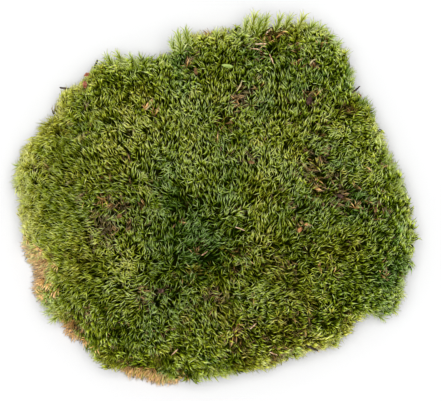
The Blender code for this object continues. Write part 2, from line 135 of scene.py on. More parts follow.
# How far the flow, the swirls, the tufts and chance bend each stem, and turn its sweep
STEM_PULLS = (0.32, 0.2, 0.3, 0.12)
SWEEP_PULLS = (1, 0.5, 0.6, 0.3)

# Shoots at the rim, from this share of the way over: how much painted light they get, how much
# yellower they are as painted glow of light through their leaves, and how unevenly they reach out
RIM_START = 0.3
RIM_LIGHT = 0.26
RIM_GLOW_TONE = 0.14
RIM_RAGGEDNESS = 1.6 * MM
RIM_TUFT = 5 * MM

# How far some shoots rise over the litter, and how near to it
LITTER_COVER = 1.6 * MM
LITTER_ROOM = 2.5 * MM
COVERED_SHARE = 0.55

# Gaps between tufts: their size, how many there are, how far shoots sink into them, and how much
# painted shade they get there
GAP_SIZE = 5.5 * MM
GAP_START = 0.12
GAP_FADE = 0.3
GAP_STRENGTH = 0.8
GAP_DEPTH = 1.0 * MM
GAP_SHADE = 0.42

# Below this height the sides are in shade and older
LOW_SIDE = 10 * MM
LOW_SIDE_FALL = 7 * MM
LOW_SIDE_SHADE = 0.35
LOW_SIDE_TONE = 0.08

# Where the leaves turn finer and closer: west and south of the middle, and over how far, in mm
SILKY_WEST_MM = 48
SILKY_SOUTH_MM = 68
SILKY_FADE_MM = 25

# Dead shoots on the side of the mat, and the felt inside them
OLD_SHOOT_SPACING = 1.2 * MM
OLD_SHOOT_KINDS = 8
OLD_SHOOT_LEAVES = 4
OLD_SHOOT_SWEEP = 18
OLD_TIP_JITTER = 0.5 * MM
OLD_PATCH_SIZE = 2.5 * MM
FELT_WIDTH = 0.965
FELT_HEIGHT = 0.8
HIDDEN_SHARE = 0.4

# The lobe of dead shoots that stands out a little further: its pixel, radius in pixels, and reach
LOBE_PIXEL = (37, 291)
LOBE_RADIUS = 10
LOBE_REACH = 2.2 * MM

# Shoots that stand clear of the outline, by the place of their tip, in mm
SPRIG_KINDS = 5
SPRIG_LENGTH = 14 * MM
SPRIG_LIFT = 0.45
STRAY_DROP = 0.1
STRAY_REACH = 9 * MM
STRAY_WIDTH = 1.4 * MM
STRAY_TIPS_MM = [
    (21, 94, 23), (17, 92, 22), (24, 92, 24), (27, 93, 22), (34, 93, 23), (39, 93, 20), (46, 93, 21),
    (51, 89, 22), (55, 88, 18), (64, 80, 18), (71, 65, 15), (-22, 81, 23), (-19, 84, 25), (-15, 86, 22),
    (1, 86, 20), (-56, 73, 18), (-51, 75, 14), (-44, 73, 19), (-39, 73, 14), (-102, 16, 14), (-103, 7, 11),
    (-87, -60, 12), (-84, -64, 12), (97, -50, 16), (94, -59, 10), (88, -63, 8), (30, -88, 8),
]

# Tones of the moss, from the blue-green of shaded shoots to the tan of dead ones
BLUE_GREEN, DEEP_GREEN, MID_GREEN, FRESH_GREEN = 0.08, 0.22, 0.36, 0.50
YELLOW_GREEN, OLIVE, DULL_OLIVE, STRAW_BROWN, TAN = 0.62, 0.74, 0.78, 0.87, 0.96
GREENEST = 0.12
YELLOWEST = 0.7
DEAD_TONE = 0.79

# How the tone wanders over the moss, and the share and tones of the dead shoots strewn over it
USUAL_TONE = MID_GREEN + 0.06
BROAD_SIZE = 24 * MM
BROAD_TONES = 0.36
TUFT_TONES = 0.26
TONE_JITTER = 0.05
DEAD_TONE_JITTER = 0.025
DEAD_SHARE = 0.02
STREWN_TONES = (0.85, 0.91)

# Places are given as seen in the photograph, in its pixels, and fade out round their middle.
# Where the living moss has a tone of its own, the blue-green by the hollow partly painted shade:
# x, y, radius, tone, and its strength in per cent
GREEN_PATCHES = [
    (192, 232, 40, DEEP_GREEN, 90), (190, 212, 20, BLUE_GREEN, 50), (150, 275, 24, DEEP_GREEN, 60),
    (58, 190, 60, OLIVE, 45), (70, 270, 50, OLIVE, 40), (42, 262, 13, OLIVE, 70), (49, 281, 10, OLIVE, 50),
    (60, 316, 8, OLIVE, 80), (110, 310, 50, FRESH_GREEN, 40), (58, 102, 17, OLIVE, 80),
    (50, 126, 14, OLIVE, 70), (24, 160, 18, OLIVE, 80), (22, 192, 14, OLIVE, 80), (26, 218, 14, OLIVE, 80),
    (120, 95, 34, OLIVE, 30), (215, 36, 28, YELLOW_GREEN, 80), (256, 18, 16, FRESH_GREEN, 80),
    (300, 25, 26, YELLOW_GREEN, 60), (250, 68, 26, MID_GREEN, 60), (210, 70, 9, FRESH_GREEN, 70),
    (320, 60, 22, FRESH_GREEN, 60), (180, 150, 36, FRESH_GREEN, 60), (270, 130, 34, YELLOW_GREEN, 40),
    (285, 180, 16, FRESH_GREEN, 80), (385, 150, 20, FRESH_GREEN, 70), (400, 180, 14, FRESH_GREEN, 60),
    (405, 262, 24, MID_GREEN, 70), (355, 200, 16, MID_GREEN, 70), (365, 225, 14, DEEP_GREEN, 50),
    (360, 285, 26, MID_GREEN, 60), (392, 306, 13, FRESH_GREEN, 80), (320, 345, 18, OLIVE, 70),
    (350, 328, 15, OLIVE, 70), (250, 366, 14, OLIVE, 70), (200, 372, 12, YELLOW_GREEN, 60),
    (56, 301, 12, FRESH_GREEN, 100), (147, 58, 18, DEEP_GREEN, 70), (306, 315, 16, MID_GREEN, 50),
    (362, 200, 12, MID_GREEN, 50), (388, 285, 22, DEEP_GREEN, 50), (88, 344, 14, MID_GREEN, 60),
    (272, 345, 22, OLIVE, 50), (302, 350, 14, OLIVE, 50), (39, 131, 12, OLIVE, 60),
    (105, 358, 12, OLIVE, 50), (75, 88, 14, OLIVE, 60), (295, 154, 14, OLIVE, 50), (222, 96, 12, OLIVE, 60),
    (270, 290, 24, YELLOW_GREEN, 50), (214, 246, 18, BLUE_GREEN, 60), (112, 250, 9, FRESH_GREEN, 70),
]

# Where shoots are dead, by their tone: x, y, radius, and the share of them in per cent
DEAD_PATCHES = {
    STRAW_BROWN: [
        (227, 121, 9, 80), (245, 91, 10, 70), (240, 106, 10, 35), (272, 33, 10, 80), (255, 42, 8, 35),
        (306, 62, 9, 50), (310, 100, 11, 70), (318, 130, 10, 40), (314, 166, 13, 85), (325, 186, 13, 85),
        (338, 202, 10, 65), (374, 210, 8, 60), (110, 212, 16, 80), (114, 232, 14, 75), (130, 206, 9, 60),
        (72, 322, 10, 80), (150, 298, 9, 50), (160, 290, 8, 60), (293, 256, 9, 60), (300, 230, 11, 60),
        (354, 250, 9, 50), (275, 352, 9, 60), (150, 366, 8, 40), (130, 368, 8, 50), (402, 209, 5, 40),
        (349, 110, 8, 35), (88, 326, 8, 30), (240, 334, 10, 50), (300, 328, 14, 40), (251, 161, 7, 35),
        (195, 69, 7, 60), (36, 170, 8, 30), (210, 292, 12, 30), (240, 255, 12, 50), (96, 174, 9, 40),
    ],
    TAN: [
        (148, 108, 7, 15), (31, 262, 11, 90), (37, 287, 11, 100), (60, 330, 7, 90), (126, 378, 7, 70),
        (146, 384, 8, 90), (166, 386, 7, 90), (90, 345, 9, 30), (24, 242, 8, 50),
    ],
    DULL_OLIVE: [
        (290, 332, 20, 40), (250, 352, 18, 35), (328, 306, 16, 35), (194, 277, 16, 30), (229, 307, 16, 30),
        (304, 290, 16, 30), (224, 258, 14, 30), (278, 270, 18, 35), (186, 324, 14, 30), (140, 188, 12, 30),
        (320, 172, 14, 35), (69, 134, 10, 30),
    ],
}

# Where shoots sink between the tufts and get painted shade, by radius: x, y, and how much in per cent
DARK_PLACES = {
    6: [
        (60, 131, 80), (206, 177, 50), (42, 172, 50), (72, 324, 80), (253, 40, 60), (250, 188, 60),
        (160, 165, 60), (105, 355, 60), (180, 330, 50),
    ],
    7: [
        (277, 92, 50), (306, 64, 70), (327, 193, 90), (58, 292, 80), (396, 206, 70), (114, 170, 70),
        (86, 266, 60), (70, 108, 60), (280, 208, 60), (352, 252, 70), (190, 342, 50), (120, 326, 50),
    ],
    8: [
        (192, 189, 50), (228, 122, 90), (140, 83, 80), (212, 52, 80), (272, 66, 50), (304, 118, 60),
        (318, 180, 80), (300, 262, 80), (378, 236, 70), (330, 296, 70), (200, 302, 70), (182, 374, 60),
        (225, 72, 60), (245, 272, 60),
    ],
    9: [
        (129, 208, 90), (140, 272, 50), (112, 80, 90), (290, 52, 50), (238, 148, 40), (268, 336, 50),
    ],
    10: [(176, 200, 60), (229, 232, 90), (135, 190, 40), (350, 106, 60)],
    14: [(300, 328, 60)],
    16: [(205, 262, 50), (172, 266, 50)],
}

# Where the tips get painted light or painted shade, by radius: x, y, and by how much in per cent
LIGHT_PLACES = {
    6: [(402, 208, -20)],
    8: [
        (384, 143, -10), (37, 276, 28), (292, 351, 26), (205, 284, 25), (308, 145, 25), (241, 213, 24),
        (259, 55, 22), (205, 105, 20), (125, 222, 22), (238, 150, -28), (100, 201, -25), (63, 151, -22),
        (177, 277, -20), (402, 189, -20), (183, 328, -20), (365, 300, -20),
    ],
    9: [
        (394, 312, 40), (294, 279, 12), (342, 334, 15), (290, 18, -30), (67, 328, -70), (100, 64, -30),
        (50, 161, -14), (35, 195, -28), (143, 60, -28), (388, 286, 25), (365, 130, 28), (291, 104, 22),
        (288, 183, 22), (324, 332, -28), (330, 91, -26), (183, 145, -26), (100, 331, -26),
        (150, 277, -22), (296, 245, -22), (223, 128, -40), (292, 224, -20), (315, 52, 28),
        (167, 74, 28), (219, 31, 22), (370, 188, 25), (135, 372, -36), (161, 361, -34),
    ],
    10: [
        (258, 12, 30), (123, 63, 20), (131, 81, 15), (411, 226, 50), (121, 285, 15), (46, 308, 65),
        (228, 104, 55), (256, 107, 55), (146, 163, 15), (349, 111, -20), (345, 282, -15),
        (188, 378, -33), (32, 143, -15), (354, 230, -15), (348, 66, -45), (185, 187, -12),
        (209, 179, -16), (168, 208, -26), (84, 342, -42), (228, 239, -15), (210, 243, 26),
    ],
    11: [
        (356, 92, 30), (405, 194, 25), (102, 226, 48), (354, 322, -28), (329, 308, -28), (91, 98, 28),
    ],
    12: [
        (238, 29, 75), (320, 26, 35), (166, 107, 15), (125, 129, 55), (226, 171, 22), (253, 157, 72),
        (380, 134, 40), (390, 166, 22), (409, 274, 38), (156, 293, 22), (53, 292, 25), (308, 337, 22),
        (256, 320, 25), (370, 109, -48), (80, 187, -12), (255, 204, -15), (97, 270, -20),
        (317, 278, -18), (173, 341, -18), (277, 350, -15), (44, 125, -30),
    ],
    13: [
        (276, 105, 32), (415, 250, 40), (398, 300, 95), (127, 208, 30), (293, 147, -25),
        (106, 182, -20), (285, 246, -14), (301, 292, -22), (195, 280, -20),
    ],
    14: [
        (26, 230, 30), (52, 108, 15), (207, 33, 50), (208, 150, 16), (284, 172, 45), (328, 187, 22),
        (311, 212, 22), (228, 306, -20), (250, 350, -26), (148, 374, -65), (241, 371, -50),
    ],
    15: [(324, 137, 28), (220, 265, -38), (326, 251, -28), (116, 366, -50)],
    16: [(34, 266, 28), (186, 104, 45), (187, 163, 50), (220, 200, 10), (372, 260, -14)],
    17: [(275, 25, -72), (287, 328, -28)],
    18: [(132, 268, 22), (278, 275, -25)],
    20: [(18, 190, 45), (118, 102, -15)],
    22: [(270, 72, 20)],
}

# Where the shoots are yellower or greener than around them, by radius: x, y, and by how much in
# hundredths of tone
TONE_PLACES = {
    7: [(185, 31, 12)],
    8: [(82, 341, -16), (328, 197, 10)],
    9: [(386, 315, -20), (354, 186, -10), (322, 42, -14), (288, 270, -12)],
    10: [
        (278, 48, 14), (66, 150, 14), (410, 228, 12), (180, 366, 15), (216, 373, 10), (25, 242, 12),
        (18, 168, 8), (258, 54, -38), (151, 112, -22), (286, 181, -10), (236, 348, -12),
        (253, 159, -10), (289, 354, -14), (216, 100, 12),
    ],
    11: [(214, 32, 14), (378, 128, 10), (234, 100, -20)],
    12: [
        (402, 210, 20), (272, 364, 20), (184, 312, 16), (185, 31, 22), (92, 327, 18), (297, 156, 10),
        (93, 116, 10), (30, 143, 12), (305, 76, 12), (190, 104, 16), (326, 137, 15), (356, 203, -40),
        (364, 138, -14), (185, 60, -32), (400, 180, -12), (107, 96, -12), (336, 253, -10),
        (92, 170, -10), (172, 205, -16), (340, 285, -10),
    ],
    13: [
        (320, 200, 16), (156, 356, 16), (134, 267, 18), (222, 158, 14), (379, 164, -22),
        (386, 277, -24), (195, 272, -14),
    ],
    14: [(293, 232, 18), (113, 218, 14), (197, 155, 18), (338, 42, -24), (133, 80, -20)],
    15: [(60, 124, 20), (196, 247, -32)],
    16: [(142, 143, 14), (406, 264, -14), (262, 112, -20)],
}

# Where part of the old shoots at the edge are still olive, by radius: x, y, and share in per cent
OLIVE_EDGES = {
    9: [(72, 322, 30)],
    10: [(36, 262, 25)],
    13: [(28, 246, 60)],
    22: [(150, 376, 45)],
}

# Where the shoots lean: x, y, radius, and degrees anticlockwise from the right of the photograph
FLOWS = [
    (44, 168, 22, 178), (44, 215, 30, 193), (46, 262, 20, 186), (70, 150, 24, 147), (68, 190, 20, 155),
    (68, 220, 20, 172), (66, 262, 20, 180), (48, 286, 16, 206), (72, 310, 20, 220), (100, 312, 22, 234),
    (104, 338, 24, 258), (140, 338, 16, 265), (118, 360, 14, 268), (104, 76, 24, 112), (140, 90, 20, 104),
    (166, 80, 18, 106), (164, 112, 22, 122), (118, 120, 14, 150), (96, 145, 22, 134), (132, 142, 20, 138),
    (106, 168, 18, 154), (162, 144, 14, 90), (186, 84, 22, 116), (188, 120, 18, 110), (210, 152, 22, 100),
    (186, 164, 14, 106), (214, 196, 24, 110), (238, 176, 20, 108), (154, 236, 24, 88), (200, 238, 22, 60),
    (200, 262, 16, 32), (140, 166, 14, 98), (212, 92, 14, 94), (238, 94, 16, 62), (262, 68, 16, 100),
    (286, 68, 16, 112), (286, 98, 20, 84), (262, 112, 16, 76), (268, 142, 26, 102), (262, 172, 20, 92),
    (286, 176, 22, 68), (272, 212, 24, 76), (332, 70, 18, 66), (308, 92, 16, 75), (356, 142, 18, 20),
    (310, 166, 16, 38), (382, 178, 26, 34), (308, 192, 16, 60), (332, 190, 12, 24), (320, 218, 20, 52),
    (366, 214, 22, 66), (402, 224, 20, 38), (332, 240, 16, 54), (380, 242, 18, 28), (358, 262, 16, 0),
    (382, 264, 14, 10), (384, 292, 22, -16), (260, 292, 22, 2), (288, 310, 20, -28), (334, 298, 20, 6),
    (196, 312, 24, -52), (236, 308, 14, -9), (176, 334, 20, -42), (212, 344, 22, -42), (258, 334, 14, 2),
    (296, 334, 18, -24), (248, 358, 22, -38), (334, 336, 14, -42), (215, 38, 22, 92), (256, 20, 14, 104),
    (300, 26, 18, 84),
]
FLOW_STRENGTH = 1.2

# Elsewhere the shoots lean away from this place, by the hollow, the more the farther from it
FLOW_MIDDLE_PIXEL = (203, 252)
FREE_FLOW = 0.6
FREE_FLOW_REACH = 70 * MM


def at_pixel(px, py):
    """The place, in metres, of a pixel of the photograph."""
    return ((px - MIDDLE_PIXEL[0]) * METRES_PER_PIXEL, (MIDDLE_PIXEL[1] - py) * METRES_PER_PIXEL)


FRAME_MIDDLE = at_pixel(FRAME_PIXELS[0] / 2, FRAME_PIXELS[1] / 2)


# Helpers for modelling


def deselect_all():
    bpy.ops.object.select_all(action="DESELECT")


def pick_alone(obj):
    deselect_all()
    obj.select_set(True)
    bpy.context.view_layer.objects.active = obj


def start_editing():
    bpy.ops.object.mode_set(mode="EDIT")
    bpy.ops.mesh.select_all(action="SELECT")


def stop_editing():
    bpy.ops.object.mode_set(mode="OBJECT")


def link_new(name, data):
    """A new object in the scene."""
    made = bpy.data.objects.new(name, data)
    bpy.context.scene.collection.objects.link(made)
    return made


def apply_modifiers(obj):
    pick_alone(obj)
    for modifier in list(obj.modifiers):
        bpy.ops.object.modifier_apply(modifier=modifier.name)


def model_leaf(length, width, curl):
    """One leaf of moss: a keeled blade that stands on the origin, points up and curls towards +X."""
    deselect_all()
    quarter = math.pi / 2
    bpy.ops.mesh.primitive_circle_add(vertices=3, radius=1, fill_type="NGON", rotation=(0, 0, quarter))
    leaf = bpy.context.object
    half_width = width / math.sqrt(3) * LEAF_RING_WIDTHS[0]
    leaf.scale = (half_width * LEAF_THICKNESS, half_width, 1)
    bpy.ops.object.transform_apply(location=True, rotation=True, scale=True)
    start_editing()
    shares = LEAF_RINGS + (1.0,)
    spine = [(curl * length * s**2, length * s * (1 - CURL_DROP * curl * s)) for s in shares]
    for number in range(1, len(shares)):
        step = (spine[number][0] - spine[number - 1][0], 0, spine[number][1] - spine[number - 1][1])
        bpy.ops.mesh.extrude_region_move(TRANSFORM_OT_translate={"value": step})
        if number < len(LEAF_RINGS):
            growth = LEAF_RING_WIDTHS[number] / LEAF_RING_WIDTHS[number - 1]
            centre = (spine[number][0], 0, spine[number][1])
            bpy.ops.transform.resize(value=(growth, growth, 1), center_override=centre)
    bpy.ops.mesh.merge(type="CENTER")
    bpy.ops.mesh.select_all(action="SELECT")
    bpy.ops.mesh.normals_make_consistent(inside=False)
    stop_editing()
    return leaf


# Patterns: a modelled shape as arrays, ready to be copied many times. They hold its points, its
# faces, the place of each face corner along and across its leaf, and how much its leaf differs.

Pattern = namedtuple("Pattern", "points corners sizes along across jitter")


def pattern_of(leaf):
    """Reads a modelled leaf and removes it."""
    points = np.array([vert.co for vert in leaf.data.vertices])
    top = points[:, 2].max()
    side = np.abs(points[:, 1]).max()
    corners, sizes, along, across = [], [], [], []
    for face in leaf.data.polygons:
        corners += list(face.vertices)
        sizes.append(len(face.vertices))
        foot = all(points[i, 2] < top / 100 for i in face.vertices)
        for number, i in enumerate(face.vertices):
            across.append(points[i, 1] / side)
            along.append(0.02 * (number % 2) if foot else points[i, 2] / top)
    bpy.data.objects.remove(leaf)
    zeros = np.zeros(len(corners))
    return Pattern(points, np.array(corners), np.array(sizes), np.array(along), np.array(across), zeros)


def model_leaves(sizes_mm):
    return [pattern_of(model_leaf(length * MM, width * MM, curl)) for length, width, curl in sizes_mm]


def joined(patterns):
    starts = np.cumsum([0] + [len(pattern.points) for pattern in patterns])
    shifted = [pattern._replace(corners=pattern.corners + start) for pattern, start in zip(patterns, starts)]
    return Pattern(*(np.concatenate(parts) for parts in zip(*shifted)))


def set_leaf(leaves, foot, turn, lean, sizes, chance):
    """One of the leaves, leant out from the stem and turned about it, in a size and tone of its own."""
    place = Matrix.Translation(foot)
    place @= Matrix.Rotation(turn, 4, "Z") @ Matrix.Rotation(lean, 4, "Y")
    place @= Matrix.Scale(chance.uniform(*sizes), 4)
    leaf = chance.choice(leaves)
    points = leaf.points @ np.array(place.to_3x3()).T + np.array(place.translation)
    return leaf._replace(points=points, jitter=np.full(len(leaf.corners), chance.uniform(-1, 1)))


def build_round_shoot(leaves, chance, count, stem, spread, closing, wobble, twist, sizes):
    """Copies leaves up and round a stem: the lowest spread most, the others less and less."""
    parts = []
    for number in range(count):
        share = number / (count - 1)
        lean = math.radians(spread * (1 - closing * share) + chance.uniform(-wobble, wobble))
        turn = number * GOLDEN_TURN + chance.uniform(-twist, twist)
        parts.append(set_leaf(leaves, (0, 0, stem * share), turn, lean, sizes, chance))
    return joined(parts)


def build_swept_shoot(leaves, sweep, chance, count=SHOOT_LEAVES, scatter=34, width=1.6):
    """Copies leaves up a short stem, all swept to the +X side within the scatter in degrees."""
    parts = []
    for number in range(count):
        share = number / (count - 1)
        lean = math.radians(sweep * (1 - SWEPT_CLOSING * share) + chance.uniform(-9, 9))
        turn = math.radians(chance.uniform(-scatter, scatter))
        foot = (chance.uniform(-1.3, 1.3) * MM, chance.uniform(-width, width) * MM, STEM_LENGTH * share)
        parts.append(set_leaf(leaves, foot, turn, lean, SWEPT_LEAF_SIZES, chance))
    return joined(parts)


def plant(name, patterns, picks, turns, roots, sizes, tones, lights, lifts, material):
    """Joins copies of patterns into one mesh: each is turned, sized and moved to its root.

    A shoot's light is the painted light on it, which says how pale its tips get, and its lift how much
    less painted shade its leaves have at their foot.
    """
    points, corners, face_sizes, maps = [], [], [], []
    start = 0
    for number, pattern in enumerate(patterns):
        chosen = np.flatnonzero(picks == number)
        if not len(chosen):
            continue
        own = pattern.points[None] * sizes[chosen, None, None]
        placed = np.einsum("nij,nkj->nki", turns[chosen], own) + roots[chosen, None]
        points.append(placed.reshape(-1, 3))
        shifts = start + np.arange(len(chosen)) * len(pattern.points)
        corners.append((pattern.corners[None] + shifts[:, None]).ravel())
        face_sizes.append(np.tile(pattern.sizes, len(chosen)))
        tone = tones[chosen, None] + pattern.jitter * LEAF_TONE_JITTER + pattern.across * LEAF_MAP_WIDTH
        light = lights[chosen, None] + pattern.jitter[::-1] * LEAF_LIGHT_JITTER
        light = np.clip(light, DARKEST, LIGHTEST)
        lift = lifts[chosen, None]
        along = np.clip((lift + (light - lift) * pattern.along) / LIGHTEST, 0, 1 - MAP_MARGIN)
        maps.append(np.stack([np.clip(tone, MAP_MARGIN, 1 - MAP_MARGIN), along], axis=2).reshape(-1, 2))
        start += len(chosen) * len(pattern.points)
    points = np.concatenate(points)
    points[:, 2] = np.maximum(points[:, 2], LOWEST_LEAF)
    corners = np.concatenate(corners)
    face_sizes = np.concatenate(face_sizes)
    starts = np.concatenate([[0], np.cumsum(face_sizes)[:-1]])
    mesh = bpy.data.meshes.new(name)
    mesh.vertices.add(len(points))
    mesh.loops.add(len(corners))
    mesh.polygons.add(len(face_sizes))
    mesh.vertices.foreach_set("co", points.astype(np.float32).ravel())
    mesh.loops.foreach_set("vertex_index", corners.astype(np.int32))
    mesh.polygons.foreach_set("loop_start", starts.astype(np.int32))
    uv_map = mesh.uv_layers.new(name=MAP_NAME)
    uv_map.data.foreach_set("uv", np.concatenate(maps).astype(np.float32).ravel())
    mesh.update(calc_edges=True)
    mesh.shade_smooth()
    mesh.materials.append(material)
    return link_new(name, mesh)


# Material helpers


def set_inputs(tree, made, inputs):
    """Gives a node its inputs: each is a value, or an output of another node."""
    for name, given in inputs.items():
        if isinstance(given, bpy.types.NodeSocket):
            tree.links.new(given, made.inputs[name])
        else:
            made.inputs[name].default_value = given


def node(tree, kind, inputs, **settings):
    made = tree.nodes.new(kind)
    for name, value in settings.items():
        setattr(made, name, value)
    set_inputs(tree, made, inputs)
    return made


def ramp(tree, stops, factor):
    """The colour of a ramp of (place, colour) pairs."""
    made = node(tree, "ShaderNodeValToRGB", {"Fac": factor})
    elements = made.color_ramp.elements
    while len(elements) < len(stops):
        elements.new(0.5)
    for element, (place, colour) in zip(elements, stops):
        element.position = place
        element.color = (*colour, 1)
    return made.outputs["Color"]


def mixed(tree, factor, first, second):
    """The mix of two colours."""
    inputs = {"Factor": factor, "A": first, "B": second}
    return node(tree, "ShaderNodeMix", inputs, data_type="RGBA").outputs["Result"]


def in_range(tree, value, start, end, low=0, high=1, **settings):
    """A value that goes from low to high between the start and the end."""
    inputs = {"Value": value, "From Min": start, "From Max": end, "To Min": low, "To Max": high}
    return node(tree, "ShaderNodeMapRange", inputs, **settings).outputs["Result"]


def grain_at(tree, place, scale, roughness):
    """A fine noise over a piece."""
    inputs = {"Vector": place, "Scale": scale, "Detail": 6, "Roughness": roughness}
    return node(tree, "ShaderNodeTexNoise", inputs).outputs["Fac"]


def raised(tree, height, strength, distance):
    """The direction of a surface that is raised by a height."""
    inputs = {"Height": height, "Strength": strength, "Distance": distance}
    return node(tree, "ShaderNodeBump", inputs).outputs["Normal"]


def new_material(name, roughness, specular):
    """A material, its tree and its shader."""
    material = bpy.data.materials.new(name)
    material.use_nodes = True
    tree = material.node_tree
    shader = tree.nodes["Principled BSDF"]
    set_inputs(tree, shader, {"Roughness": roughness, "Specular IOR Level": specular})
    return material, tree, shader


# Materials

TIP_COLOURS = [
    (0.00, (0.072, 0.165, 0.016)),
    (DEEP_GREEN, (0.134, 0.242, 0.014)),
    (MID_GREEN, (0.256, 0.350, 0.013)),
    (FRESH_GREEN, (0.340, 0.430, 0.016)),
    (YELLOW_GREEN, (0.450, 0.502, 0.030)),
    (OLIVE, (0.510, 0.490, 0.044)),
    (0.81, (0.340, 0.290, 0.060)),
    (STRAW_BROWN, (0.098, 0.064, 0.034)),
    (0.90, (0.140, 0.088, 0.044)),
    (0.93, (0.800, 0.500, 0.180)),
    (1.00, (0.950, 0.560, 0.210)),
]
# Leaf feet: their own darker colour, near-black as painted shade deep in the cushion
ROOT_COLOURS = [
    (0.00, (0.002, 0.009, 0.0)),
    (DEEP_GREEN, (0.004, 0.013, 0.0)),
    (FRESH_GREEN, (0.013, 0.021, 0.0)),
    (OLIVE, (0.034, 0.027, 0.0)),
    (STRAW_BROWN, (0.022, 0.012, 0.003)),
    (0.93, (0.460, 0.240, 0.064)),
    (1.00, (0.520, 0.250, 0.075)),
]
# Pale painted highlight at the tips of the best-lit leaves
PALE_HIGHLIGHT_COLOURS = [
    (0.00, (0.37, 0.52, 0.215)),
    (MID_GREEN, (0.59, 0.66, 0.350)),
    (OLIVE, (0.74, 0.72, 0.355)),
    (STRAW_BROWN, (0.30, 0.235, 0.155)),
    (1.00, (0.97, 0.69, 0.36)),
]
# Near-black stems under the leaves: painted shade in the gaps between shoots
STEM_SHADE_COLOURS = [(0.35, (0.001, 0.002, 0.0)), (0.55, (0.004, 0.005, 0.0)), (0.75, (0.014, 0.008, 0.0))]
FELT_COLOURS = [(0.3, (0.080, 0.040, 0.014)), (0.55, (0.260, 0.145, 0.055)), (0.75, (0.480, 0.300, 0.130))]
CUT_HUMUS = (0.016, 0.008, 0.003, 1)
STEM_END = (0.42, 0.26, 0.11, 1)
STEM_END_DISC = [(0.16, (1, 1, 1)), (0.26, (0.5, 0.5, 0.5)), (0.36, (0, 0, 0))]

# Where along a leaf the root colour, its darker foot with painted shade, turns to the tip colour, and
# that to the pale painted highlight, and how strong that gets
TIP_RISE_RANGE = (0.16, 0.66)
HIGHLIGHT_RANGE = (0.49, 0.98)
STRONGEST_HIGHLIGHT = 0.97
ROOT_ROUGHNESS = 0.95
TIP_ROUGHNESS = 0.4


def leaf_colour_group():
    """Colour and roughness of a leaf from its tone and the place along it, which carries painted light:
    painted shade at the foot and a pale painted highlight at the tip.
    """
    tree = bpy.data.node_groups.new("leaf colour", "ShaderNodeTree")
    for name, side, kind in (
        ("Tone", "INPUT", "Float"),
        ("Along", "INPUT", "Float"),
        ("Colour", "OUTPUT", "Color"),
        ("Roughness", "OUTPUT", "Float"),
    ):
        tree.interface.new_socket(name=name, in_out=side, socket_type="NodeSocket" + kind)
    given = node(tree, "NodeGroupInput", {}).outputs
    tables = (TIP_COLOURS, ROOT_COLOURS, PALE_HIGHLIGHT_COLOURS)
    tips, roots, highlights = (ramp(tree, stops, given["Tone"]) for stops in tables)
    rise = in_range(tree, given["Along"], *TIP_RISE_RANGE, interpolation_type="SMOOTHSTEP")
    pale = in_range(tree, given["Along"], *HIGHLIGHT_RANGE, 0, STRONGEST_HIGHLIGHT)
    colour = mixed(tree, pale, mixed(tree, rise, roots, tips), highlights)
    gloss = in_range(tree, given["Along"], 0, 1, ROOT_ROUGHNESS, TIP_ROUGHNESS)
    node(tree, "NodeGroupOutput", {"Colour": colour, "Roughness": gloss})
    return tree


def leaf_material():
    material, tree, shader = new_material("moss leaves", 0.5, 0.01)
    place = node(tree, "ShaderNodeUVMap", {}, uv_map=MAP_NAME).outputs["UV"]
    split = node(tree, "ShaderNodeSeparateXYZ", {"Vector": place}).outputs
    inputs = {"Tone": split["X"], "Along": split["Y"]}
    look = node(tree, "ShaderNodeGroup", inputs, node_tree=leaf_colour_group()).outputs
    set_inputs(tree, shader, {"Base Color": look["Colour"], "Roughness": look["Roughness"]})
    return material


def mottled_material(name, stops, scale, roughness, bump, specular=0.1):
    """Ground-like colour that changes with a noise in the piece's own place, with a bump."""
    material, tree, shader = new_material(name, roughness, specular)
    grain = grain_at(tree, node(tree, "ShaderNodeTexCoord", {}).outputs["Object"], scale, 0.65)
    normal = raised(tree, grain, bump, 0.5 * MM)
    set_inputs(tree, shader, {"Base Color": ramp(tree, stops, grain), "Normal": normal})
    return material


def felt_material():
    """Brown felt; where it is cut flat, the pale ends of stems show in dark humus."""
    material, tree, shader = new_material("old stems", 0.95, 0.1)
    place = node(tree, "ShaderNodeTexCoord", {}).outputs["Object"]
    grain = grain_at(tree, place, 260, 0.7)
    height = node(tree, "ShaderNodeSeparateXYZ", {"Vector": place}).outputs["Z"]
    above_cut = in_range(tree, height, 0.2 * MM, 1.2 * MM, 0.28)
    ground = mixed(tree, above_cut, CUT_HUMUS, ramp(tree, FELT_COLOURS, grain))
    ends = node(tree, "ShaderNodeTexVoronoi", {"Vector": place, "Scale": 480}).outputs["Distance"]
    disc = ramp(tree, STEM_END_DISC, ends)
    relief = node(tree, "ShaderNodeMath", {0: grain, 1: disc}, operation="ADD").outputs["Value"]
    normal = raised(tree, relief, 0.7, 0.4 * MM)
    set_inputs(tree, shader, {"Base Color": mixed(tree, disc, ground, STEM_END), "Normal": normal})
    return material


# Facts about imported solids, and about places on them


def triangles_of(name):
    """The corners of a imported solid's faces, as an array of triangles."""
    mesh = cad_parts[name].data
    mesh.calc_loop_triangles()
    points = np.array([vert.co for vert in mesh.vertices])
    index = np.array([triangle.vertices for triangle in mesh.loop_triangles])
    return points[index]


def face_facts(triangles):
    """Middles, unit normals and areas."""
    crossed = np.cross(triangles[:, 1] - triangles[:, 0], triangles[:, 2] - triangles[:, 0])
    doubled = np.linalg.norm(crossed, axis=1)
    return triangles.mean(axis=1), crossed / doubled[:, None], doubled / 2


def unit(vectors):
    return vectors / np.maximum(np.linalg.norm(vectors, axis=1), 1e-9)[:, None]


def outward_from_middle(points):
    return unit(points * LEVEL)


def as_seen(points):
    """Where points show from above: what lies high looks farther out from the middle of the frame."""
    eye = np.array((*FRAME_MIDDLE, 0))
    growth = EYE_DISTANCE / (EYE_DISTANCE + TRUE_LEVEL - points[:, 2])
    seen = eye + (points - eye) * growth[:, None]
    seen[:, 2] = points[:, 2]
    return seen


